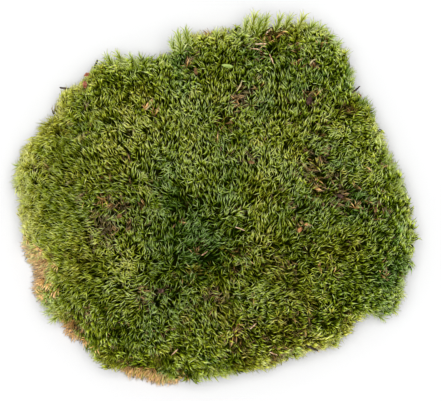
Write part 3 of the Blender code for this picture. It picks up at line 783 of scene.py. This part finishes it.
def spaced_points(triangles, spacing, rng):
    """Random points on the faces, no two nearer than the spacing, with the face of each."""
    _, _, areas = face_facts(triangles)
    wanted = int(areas.sum() / spacing**2 * TRIES_PER_PLACE)
    faces = rng.choice(len(triangles), wanted, p=areas / areas.sum())
    a, b = rng.random((2, wanted))
    over = a + b > 1
    a[over], b[over] = 1 - a[over], 1 - b[over]
    corners = triangles[faces]
    points = corners[:, 0] + a[:, None] * (corners[:, 1] - corners[:, 0])
    points += b[:, None] * (corners[:, 2] - corners[:, 0])
    cells = {}
    kept = []
    for number, key in enumerate(map(tuple, np.floor(points / spacing).astype(int).tolist())):
        point = points[number]
        near = (
            other
            for x in (key[0] - 1, key[0], key[0] + 1)
            for y in (key[1] - 1, key[1], key[1] + 1)
            for z in (key[2] - 1, key[2], key[2] + 1)
            for other in cells.get((x, y, z), ())
        )
        if all(((points[other] - point) ** 2).sum() > spacing**2 for other in near):
            cells.setdefault(key, []).append(number)
            kept.append(number)
    return points[kept], faces[kept]


def search_tree(points):
    tree = KDTree(len(points))
    for number, point in enumerate(points):
        tree.insert(point, number)
    tree.balance()
    return tree


def smooth_form(triangles, points, radius):
    """The form under the tufts: for each point the mean direction and middle of the skin near it."""
    middles, normals, areas = face_facts(triangles)
    tree = search_tree(middles)
    growth, centres = [], []
    for point in points:
        near = [found[1] for found in tree.find_range(point, radius)]
        weight = areas[near]
        growth.append((normals[near] * weight[:, None]).sum(axis=0))
        centres.append((middles[near] * weight[:, None]).sum(axis=0) / weight.sum())
    return unit(np.array(growth)), np.array(centres)


def waves_at(points, size, offset=(0, 0, 0)):
    """A smooth random value at each point, which changes over about this size."""
    return np.array([noise.noise(Vector(point) / size + Vector(offset)) for point in points])


def noise_vectors(points, size, seed):
    """A smooth random vector at each point, which changes over about this size."""
    offset = Vector((seed * 7.3, seed * 3.1, seed * 5.7))
    return np.array([noise.noise_vector(Vector(point) / size + offset) for point in points])


def square_to(axis, wish):
    """The part of each wished direction that is square to its axis, as a unit vector."""
    return unit(wish - axis * (wish * axis).sum(axis=1)[:, None])


def turns_from(axis, side):
    """A rotation for each shoot: its stem along the axis, its sweep to the side."""
    return np.stack([side, np.cross(axis, side), axis], axis=2)


def tallest(patterns):
    return np.array([pattern.points[:, 2].max() for pattern in patterns])


# What changes from place to place


def nearness(points, x, y, radius):
    """One at a place of the photograph, falling smoothly to nothing beyond its radius."""
    x, y = at_pixel(x, y)
    away = np.hypot(points[:, 0] - x, points[:, 1] - y) / (radius * METRES_PER_PIXEL)
    return np.exp(-(away**2))


def reach_of(points, places):
    """How strongly each place of a table that is sorted by radius reaches each point."""
    for radius, listed in places.items():
        for x, y, percent in listed:
            yield percent / 100 * nearness(points, x, y, radius)


def change_at(points, places):
    """The sum of the changes that reach each point, below nothing where they take away."""
    return sum(reach_of(points, places))


def tones_at(points, rim_share, rng):
    """The tone of each shoot, from the patches that it stands in."""
    low = waves_at(points, BROAD_SIZE)
    tuft = waves_at(points, TUFT_SIZE, (9, 4, 2))
    tones = USUAL_TONE + BROAD_TONES * low + TUFT_TONES * tuft
    for x, y, radius, tone, percent in GREEN_PATCHES:
        tones += (tone - tones) * (percent / 100) * nearness(points, x, y, radius)
    # At the rim the tone turns yellower as painted glow of light through the leaves
    tones += RIM_GLOW_TONE * rim_share + change_at(points, TONE_PLACES) + rng.normal(0, TONE_JITTER, len(points))
    tones = np.clip(tones, GREENEST, YELLOWEST)
    for tone, patches in DEAD_PATCHES.items():
        for x, y, radius, percent in patches:
            turned = rng.random(len(points)) < percent / 100 * nearness(points, x, y, radius)
            tones = np.where(turned, tone + rng.normal(0, DEAD_TONE_JITTER, len(points)), tones)
    strewn = rng.random(len(points)) < DEAD_SHARE
    return np.where(strewn, rng.uniform(*STREWN_TONES, len(points)), tones)


def darkness_at(points):
    """How far each place is down between the tufts, from 0 to 1."""
    waves = waves_at(points, GAP_SIZE, (3, 8, 5))
    dark = GAP_STRENGTH * np.clip((waves - GAP_START) / GAP_FADE, 0, 1) * (1 - 0.6 * silkiness_at(points))
    for reach in reach_of(points, DARK_PLACES):
        dark = np.maximum(dark, reach)
    return dark


def nearness_to_litter(points):
    """One at the litter, falling smoothly to nothing beyond the room that it takes."""
    litter = [made for name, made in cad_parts.items() if litter_kind(name)]
    tree = search_tree([vert.co for made in litter for vert in made.data.vertices])
    away = np.array([tree.find(point)[2] for point in points])
    return np.exp(-((away / LITTER_ROOM) ** 2))


def silkiness_at(points):
    """Where the leaves are finer and closer: the west side, and a little of it in the south."""
    west = np.clip((-points[:, 0] / MM - SILKY_WEST_MM) / SILKY_FADE_MM, 0, 1)
    south = np.clip((-points[:, 1] / MM - SILKY_SOUTH_MM) / SILKY_FADE_MM, 0, 0.5)
    return np.clip(west + south, 0, 1)


def flow_at(points):
    """Which way the shoots lean, level: away from the hollow, and as seen in each part."""
    away = points - np.array((*at_pixel(*FLOW_MIDDLE_PIXEL), 0))
    away[:, 2] = 0
    share = np.clip(np.linalg.norm(away, axis=1) / FREE_FLOW_REACH, 0, 1)
    flow = unit(away) * share[:, None] * FREE_FLOW
    for x, y, radius, degrees in FLOWS:
        heading = np.array((math.cos(math.radians(degrees)), math.sin(math.radians(degrees)), 0))
        flow += (heading * FLOW_STRENGTH - flow) * nearness(points, x, y, radius)[:, None]
    return flow


def on_stray(points):
    """Which points are on the shoots that stand clear of the outline."""
    found = np.zeros(len(points), bool)
    for tip in np.array(STRAY_TIPS_MM) * MM:
        inward = unit(-tip[None] * LEVEL)[0] - UP * STRAY_DROP
        along = (points - tip) @ inward / (inward @ inward)
        away = np.linalg.norm(points - tip - along[:, None] * inward, axis=1)
        found |= (along < STRAY_REACH) & (along > -1 * MM) & (away < STRAY_WIDTH)
    return found


# The living cushion


def living_skin():
    """The faces of the cushion that shoots grow from: all but its flat underside and the room inside."""
    triangles = triangles_of("moss_cushion")
    middles, normals, _ = face_facts(triangles)
    outward = (normals * outward_from_middle(middles)).sum(axis=1)
    mat_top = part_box("old_stem_mat")[1].z
    hidden = (normals[:, 2] < -0.85) | ((outward < -0.2) & (middles[:, 2] < mat_top + 0.6 * MM))
    return triangles[~hidden]


def copy_of_solid(name, node_name):
    """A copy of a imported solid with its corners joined, as a new object."""
    made = link_new(name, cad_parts[node_name].data.copy())
    made.data.materials.clear()
    pick_alone(made)
    start_editing()
    bpy.ops.mesh.remove_doubles(threshold=0.001 * MM)
    bpy.ops.mesh.normals_make_consistent(inside=False)
    bpy.ops.mesh.select_all(action="DESELECT")
    stop_editing()
    return made


def build_shaded_stems():
    """The stems below the leaves, near-black as painted shade in the gaps: the cushion without its tufts,
    drawn in below the shoots.
    """
    made = copy_of_solid("shaded_stems", "moss_cushion")
    tips = [Vector(tip) * MM for tip in STRAY_TIPS_MM]
    for vert in made.data.vertices:
        vert.select = any((vert.co - tip).length < 0.5 * MM for tip in tips)
    bpy.ops.object.mode_set(mode="EDIT")
    bpy.ops.mesh.delete(type="VERT")
    bpy.ops.mesh.select_all(action="SELECT")
    bpy.ops.mesh.fill_holes(sides=0)
    bpy.ops.mesh.quads_convert_to_tris()
    stop_editing()
    calm = made.modifiers.new("calm", "SMOOTH")
    calm.factor = 0.5
    calm.iterations = 8
    shrink = made.modifiers.new("shrink", "DISPLACE")
    shrink.mid_level = 0
    shrink.strength = -INNER_DEPTH
    apply_modifiers(made)
    made.data.materials.append(mottled_material("shaded stems", STEM_SHADE_COLOURS, 420, 1, 0.6, 0))
    return made


def build_moss(leaves, silky, long, fine, material):
    """Plants shoots over the cushion, joined in one piece for its middle and one for each side."""
    chance = random.Random(5)
    rng = np.random.default_rng(5)
    full = FULL_SHOOT_LEAVES
    kinds = [
        [build_round_shoot(leaves, chance, *OPEN_SHOOT) for _ in range(OPEN_SHOOTS)],
        [build_swept_shoot(leaves, sweep, chance) for sweep in SWEEPS for _ in range(3)],
        [build_swept_shoot(silky, sweep, chance, full, 34, 1.7) for sweep in SILKY_SWEEPS * 2],
        [build_swept_shoot(long, sweep, chance, full, 50, 1.6) for sweep in RIM_SWEEPS * 2],
        [build_swept_shoot(fine, DEAD_SWEEP, chance, full, 100, 1.0) for _ in range(DEAD_SHOOTS)],
    ]
    patterns = sum(kinds, [])
    starts = np.cumsum([0] + [len(kind) for kind in kinds])
    skin = living_skin()
    points, _ = spaced_points(skin, SHOOT_SPACING, rng)
    points = points[~on_stray(points)]
    count = len(points)
    growth, centres = smooth_form(skin, points, FORM_RADIUS)
    side_share = np.clip(1 - growth[:, 2], 0, 1)
    rim_share = np.clip((side_share - RIM_START) / (1 - RIM_START), 0, 1)
    seen = as_seen(points)
    swirl = noise_vectors(points, FLOW_SIZE, 1)
    tuft = noise_vectors(points, TUFT_SIZE, 2)
    loose = rng.normal(0, 1, points.shape)
    bends = (flow_at(seen), swirl, tuft, loose)
    axis = sum((pull * bend for pull, bend in zip(STEM_PULLS, bends)), growth)
    axis = unit(axis + UP * (0.3 * side_share)[:, None])
    wish = sum(pull * bend for pull, bend in zip(SWEEP_PULLS, bends))
    turns = turns_from(axis, square_to(axis, wish))
    height_over_form = ((points - centres) * growth).sum(axis=1)
    dark = darkness_at(seen)
    rise = TIP_RISE * (1 + side_share) - TUFT_FILL * (1 - rim_share) * height_over_form - GAP_DEPTH * dark
    rise += RIM_RAGGEDNESS * rim_share * waves_at(points, RIM_TUFT, (5, 2, 7))
    rise += LOBE_REACH * nearness(seen, *LOBE_PIXEL, LOBE_RADIUS)
    rise += rng.normal(0, TIP_JITTER, count)
    rise += LITTER_COVER * nearness_to_litter(points) * (rng.random(count) < COVERED_SHARE)
    sizes = rng.uniform(*SHOOT_SIZES, count)
    tones = tones_at(seen, rim_share, rng)
    low_share = np.clip((LOW_SIDE - points[:, 2]) / LOW_SIDE_FALL, 0, 1)
    tones += LOW_SIDE_TONE * low_share * (tones < YELLOWEST)
    silkiness = silkiness_at(points)
    is_swept = rng.random(count) < 0.88 + 0.12 * side_share
    at_rim = rng.random(count) < 1.6 * rim_share
    is_silky = rng.random(count) < silkiness
    pick = rng.random(count)
    picks = pick * OPEN_SHOOTS
    for number, chosen in ((1, is_swept), (2, is_silky), (3, at_rim)):
        picks = np.where(chosen, starts[number] + pick * len(kinds[number]), picks)
    picks = np.where(tones > DEAD_TONE, len(patterns) - 1 - pick * (DEAD_SHOOTS - 1), picks).astype(int)
    roots = points + growth * rise[:, None] - axis * (tallest(patterns)[picks] * sizes)[:, None]
    # Painted light on each shoot's tips: more on higher tufts and at the rim, a little less in the silky
    # west, painted shade in the gaps and low on the sides, and painted light or shade at the listed places
    lights = 0.96 + 0.06 * height_over_form / MM - GAP_SHADE * dark + RIM_LIGHT * rim_share - 0.1 * silkiness
    lights += change_at(seen, LIGHT_PLACES) - LOW_SIDE_SHADE * low_share
    lights += rng.normal(0, 0.08, count)
    # In the silky west the leaves' feet get less painted shade, except in the gaps and low on the sides
    lifts = 0.26 * silkiness * (1 - dark) * (1 - low_share)
    angle = np.degrees(np.arctan2(points[:, 1], points[:, 0])) % 360
    middle = np.hypot(points[:, 0], points[:, 1]) < MIDDLE_RADIUS
    sectors = {"moss_middle": middle}
    width = 360 // len(SIDES)
    for number, name in enumerate(SIDES):
        sectors[name] = (angle >= number * width) & (angle < number * width + width) & ~middle
    facts = (picks, turns, roots, sizes, tones, lights, lifts)
    return [
        plant(name, patterns, *(fact[chosen] for fact in facts), material)
        for name, chosen in sectors.items()
    ]


def build_stray_sprigs(leaves, material):
    """The long shoots that stand clear of the outline."""
    chance = random.Random(8)
    rng = np.random.default_rng(8)
    sprigs = [build_round_shoot(leaves, chance, *SPRIG) for _ in range(SPRIG_KINDS)]
    tips = np.array(STRAY_TIPS_MM) * MM
    count = len(tips)
    roots = tips - (outward_from_middle(tips) + UP * STRAY_DROP) * SPRIG_LENGTH
    axis = unit(tips - roots)
    turns = turns_from(axis, square_to(axis, np.tile(UP, (count, 1))))
    picks = rng.integers(0, len(sprigs), count)
    tones = rng.uniform(MID_GREEN, YELLOW_GREEN, count)
    lights = rng.uniform(0.92, 1.2, count)
    lifts = np.full(count, SPRIG_LIFT)
    return plant("stray_sprigs", sprigs, picks, turns, roots, np.ones(count), tones, lights, lifts, material)


# The mat of old stems


def build_felt():
    """The felt inside the dead shoots: as wide and as high as they leave it, and flat underneath."""
    made = copy_of_solid("old_stem_felt", "old_stem_mat")
    start_editing()
    bpy.ops.transform.resize(value=(FELT_WIDTH, FELT_WIDTH, FELT_HEIGHT), center_override=(0, 0, 0))
    stop_editing()
    made.data.materials.append(felt_material())
    return made


def old_shoot_places(rng):
    """Where dead shoots grow, which way the mat faces there, and which lie bare of the green."""
    skin = triangles_of("old_stem_mat")
    middles, normals, _ = face_facts(skin)
    skin = skin[(normals[:, 2] > -0.5) & (np.hypot(middles[:, 0], middles[:, 1]) > 40 * MM)]
    points, faces = spaced_points(skin, OLD_SHOOT_SPACING, rng)
    cushion = triangles_of("moss_cushion")
    roof = BVHTree.FromPolygons(
        [tuple(corner) for corner in cushion.reshape(-1, 3)],
        np.arange(len(cushion) * 3).reshape(-1, 3).tolist(),
    )
    growth = face_facts(skin)[1][faces]
    bare = np.array([roof.ray_cast(Vector(point), Vector(UP))[0] is None for point in points])
    found = bare | (growth[:, 2] < 0.6)
    points, growth, bare = points[found], growth[found], bare[found]
    kept = bare | (rng.random(len(points)) < HIDDEN_SHARE)
    return points[kept], growth[kept], bare[kept]


def build_old_shoots(leaves, material):
    """Dead shoots that stick out of the mat's side, tan where they spread past the green."""
    chance = random.Random(11)
    rng = np.random.default_rng(11)
    kinds = range(OLD_SHOOT_KINDS)
    patterns = [build_swept_shoot(leaves, OLD_SHOOT_SWEEP, chance, OLD_SHOOT_LEAVES) for _ in kinds]
    points, growth, bare = old_shoot_places(rng)
    count = len(points)
    seen = as_seen(points)
    outward = outward_from_middle(points)
    axis = outward + growth * 0.35 + noise_vectors(points, 5 * MM, 4) * 0.45
    axis = unit(axis + rng.normal(0, 0.16, (count, 3)))
    side = square_to(axis, np.tile(-UP, (count, 1)) + rng.normal(0, 0.4, (count, 3)))
    sizes = rng.uniform(0.75, 1.05, count)
    picks = rng.integers(0, len(patterns), count)
    reach = tallest(patterns)[picks] * sizes * np.where(growth[:, 2] > 0.6, 0.6, 0.85)
    roots = points - axis * reach[:, None]
    roots += outward * (LOBE_REACH * nearness(seen, *LOBE_PIXEL, LOBE_RADIUS))[:, None]
    roots += axis * rng.normal(0, OLD_TIP_JITTER, count)[:, None]
    patchy = noise_vectors(points, OLD_PATCH_SIZE, 8)[:, 0]
    tones = np.where(bare, rng.normal(TAN, 0.022, count), rng.normal(STRAW_BROWN + 0.02, 0.03, count))
    tones += 0.03 * patchy
    olive = rng.random(count) < change_at(seen, OLIVE_EDGES)
    tones = np.where(olive & bare, rng.normal(OLIVE, 0.03, count), tones)
    # Bare old shoots get painted light, those hidden under the cushion painted shade, varied in patches and
    # at the listed places
    lights = np.where(bare, rng.normal(1.28, 0.14, count), rng.normal(0.78, 0.12, count))
    lights += 0.7 * patchy
    lights += change_at(seen, LIGHT_PLACES)
    lifts = np.where(bare, 0.7, 0.15)
    turns = turns_from(axis, side)
    return plant("old_shoots", patterns, picks, turns, roots, sizes, tones, lights, lifts, material)


# Litter: the slot of each kind, its dark, middle and light colours, the scale of its grain, and its
# roughness

LITTER_LOOKS = {
    "needle": ("dead_needle", (0.110, 0.045, 0.020), (0.44, 0.28, 0.16), (0.72, 0.56, 0.40), 900, 0.5),
    "straw": ("dry_straw", (0.110, 0.075, 0.028), (0.30, 0.25, 0.115), (0.46, 0.40, 0.22), 700, 0.5),
    "twig": ("twig_bark", (0.006, 0.0045, 0.003), (0.028, 0.020, 0.013), (0.110, 0.082, 0.055), 600, 0.8),
    "pink": ("pink_leaf", (0.055, 0.017, 0.009), (0.21, 0.070, 0.036), (0.38, 0.19, 0.12), 700, 0.7),
    "green": ("green_leaf", (0.060, 0.100, 0.015), (0.180, 0.245, 0.050), (0.30, 0.36, 0.11), 700, 0.5),
    "rusty": ("rusty_leaf", (0.035, 0.014, 0.005), (0.230, 0.095, 0.030), (0.52, 0.33, 0.15), 900, 0.75),
    "brown": ("rusty_leaf", (0.012, 0.007, 0.003), (0.085, 0.042, 0.014), (0.22, 0.14, 0.06), 700, 0.8),
    "bark": ("bark", (0.008, 0.004, 0.003), (0.032, 0.015, 0.010), (0.120, 0.070, 0.050), 600, 0.85),
}
LITTER_STOPS = (0.32, 0.5, 0.68)

LITTER_KINDS = {
    "needle": "needle", "straw": "straw", "twig": "twig", "leaf_scrap_pink": "pink", "leaf_green": "green",
    "leaf_scrap_orange": "rusty", "leaf_scrap": "brown", "bark_flake": "bark",
}


def litter_kind(node_name):
    """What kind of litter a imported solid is, or nothing."""
    return next((kind for start, kind in LITTER_KINDS.items() if node_name.startswith(start)), None)


def dress_litter(node_name, material):
    """A refined copy of a piece of litter: rounder, slightly uneven, with its own material."""
    made = copy_of_solid(node_name + "_dressed", node_name)
    rounder = made.modifiers.new("rounder", "SUBSURF")
    rounder.levels = 2
    rounder.render_levels = 2
    uneven = made.modifiers.new("uneven", "DISPLACE")
    waves = bpy.data.textures.new(node_name + " waves", "CLOUDS")
    waves.noise_scale = 1.1 * MM
    uneven.texture = waves
    uneven.texture_coords = "GLOBAL"
    uneven.mid_level = 0.5
    uneven.strength = 0.45 * MM
    apply_modifiers(made)
    made.data.shade_smooth()
    made.data.materials.append(material)
    return made


def build_litter():
    materials = {}
    for kind, (_, *colours, scale, roughness) in LITTER_LOOKS.items():
        stops = list(zip(LITTER_STOPS, colours))
        materials[kind] = mottled_material(kind + " litter", stops, scale, roughness, 0.5)
    for node_name in sorted(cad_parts):
        kind = litter_kind(node_name)
        if kind:
            dress(dress_litter(node_name, materials[kind]), node_name)


def dress(piece, node_name):
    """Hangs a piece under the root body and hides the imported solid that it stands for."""
    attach(piece, "root")
    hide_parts(node_name)


# Stage


def build_stage():
    """A pale floor, a broad soft lamp overhead and an even pale surround."""
    deselect_all()
    bpy.ops.mesh.primitive_plane_add(size=6, location=(0, 0, -0.05 * MM))
    floor = bpy.context.object
    floor.name = "floor"
    material, _, shader = new_material("pale floor", 0.9, 0.1)
    shader.inputs["Base Color"].default_value = (0.488, 0.488, 0.493, 1)
    floor.data.materials.append(material)
    lamp = bpy.data.lights.new("softbox", "AREA")
    lamp.shape = "RECTANGLE"
    lamp.size, lamp.size_y = 0.7, 0.6
    lamp.energy = 13
    hung = link_new("softbox", lamp)
    hung.location = (0, 0.05, 0.95)
    hung.rotation_euler = (Vector((0, 0, 0.02)) - hung.location).to_track_quat("-Z", "Y").to_euler()
    world = bpy.data.worlds.new("pale surround")
    world.use_nodes = True
    surround = world.node_tree.nodes["Background"].inputs
    surround["Color"].default_value = (1, 1, 1, 1)
    surround["Strength"].default_value = 0.94
    bpy.context.scene.world = world
    view = bpy.context.scene.view_settings
    view.view_transform = "Standard"
    view.look = "None"


def build_camera():
    """Straight above the middle of the photograph's frame."""
    camera = bpy.data.cameras.new("camera")
    camera.lens = LENS_MM
    camera.sensor_width = SENSOR_MM
    held = link_new("camera", camera)
    held.location = (*FRAME_MIDDLE, TRUE_LEVEL + EYE_DISTANCE)
    bpy.context.scene.camera = held


build_camera()
build_stage()

leaf_look = leaf_material()
usual, silky, long, fine = map(model_leaves, (MOSS_LEAVES, SILKY_LEAVES, LONG_LEAVES, FINE_LEAVES))
dress(build_shaded_stems(), "moss_cushion")
for planted in build_moss(usual, silky, long, fine, leaf_look):
    dress(planted, "moss_cushion")
dress(build_stray_sprigs(long, leaf_look), "moss_cushion")
dress(build_felt(), "old_stem_mat")
dress(build_old_shoots(fine, leaf_look), "old_stem_mat")
build_litter()
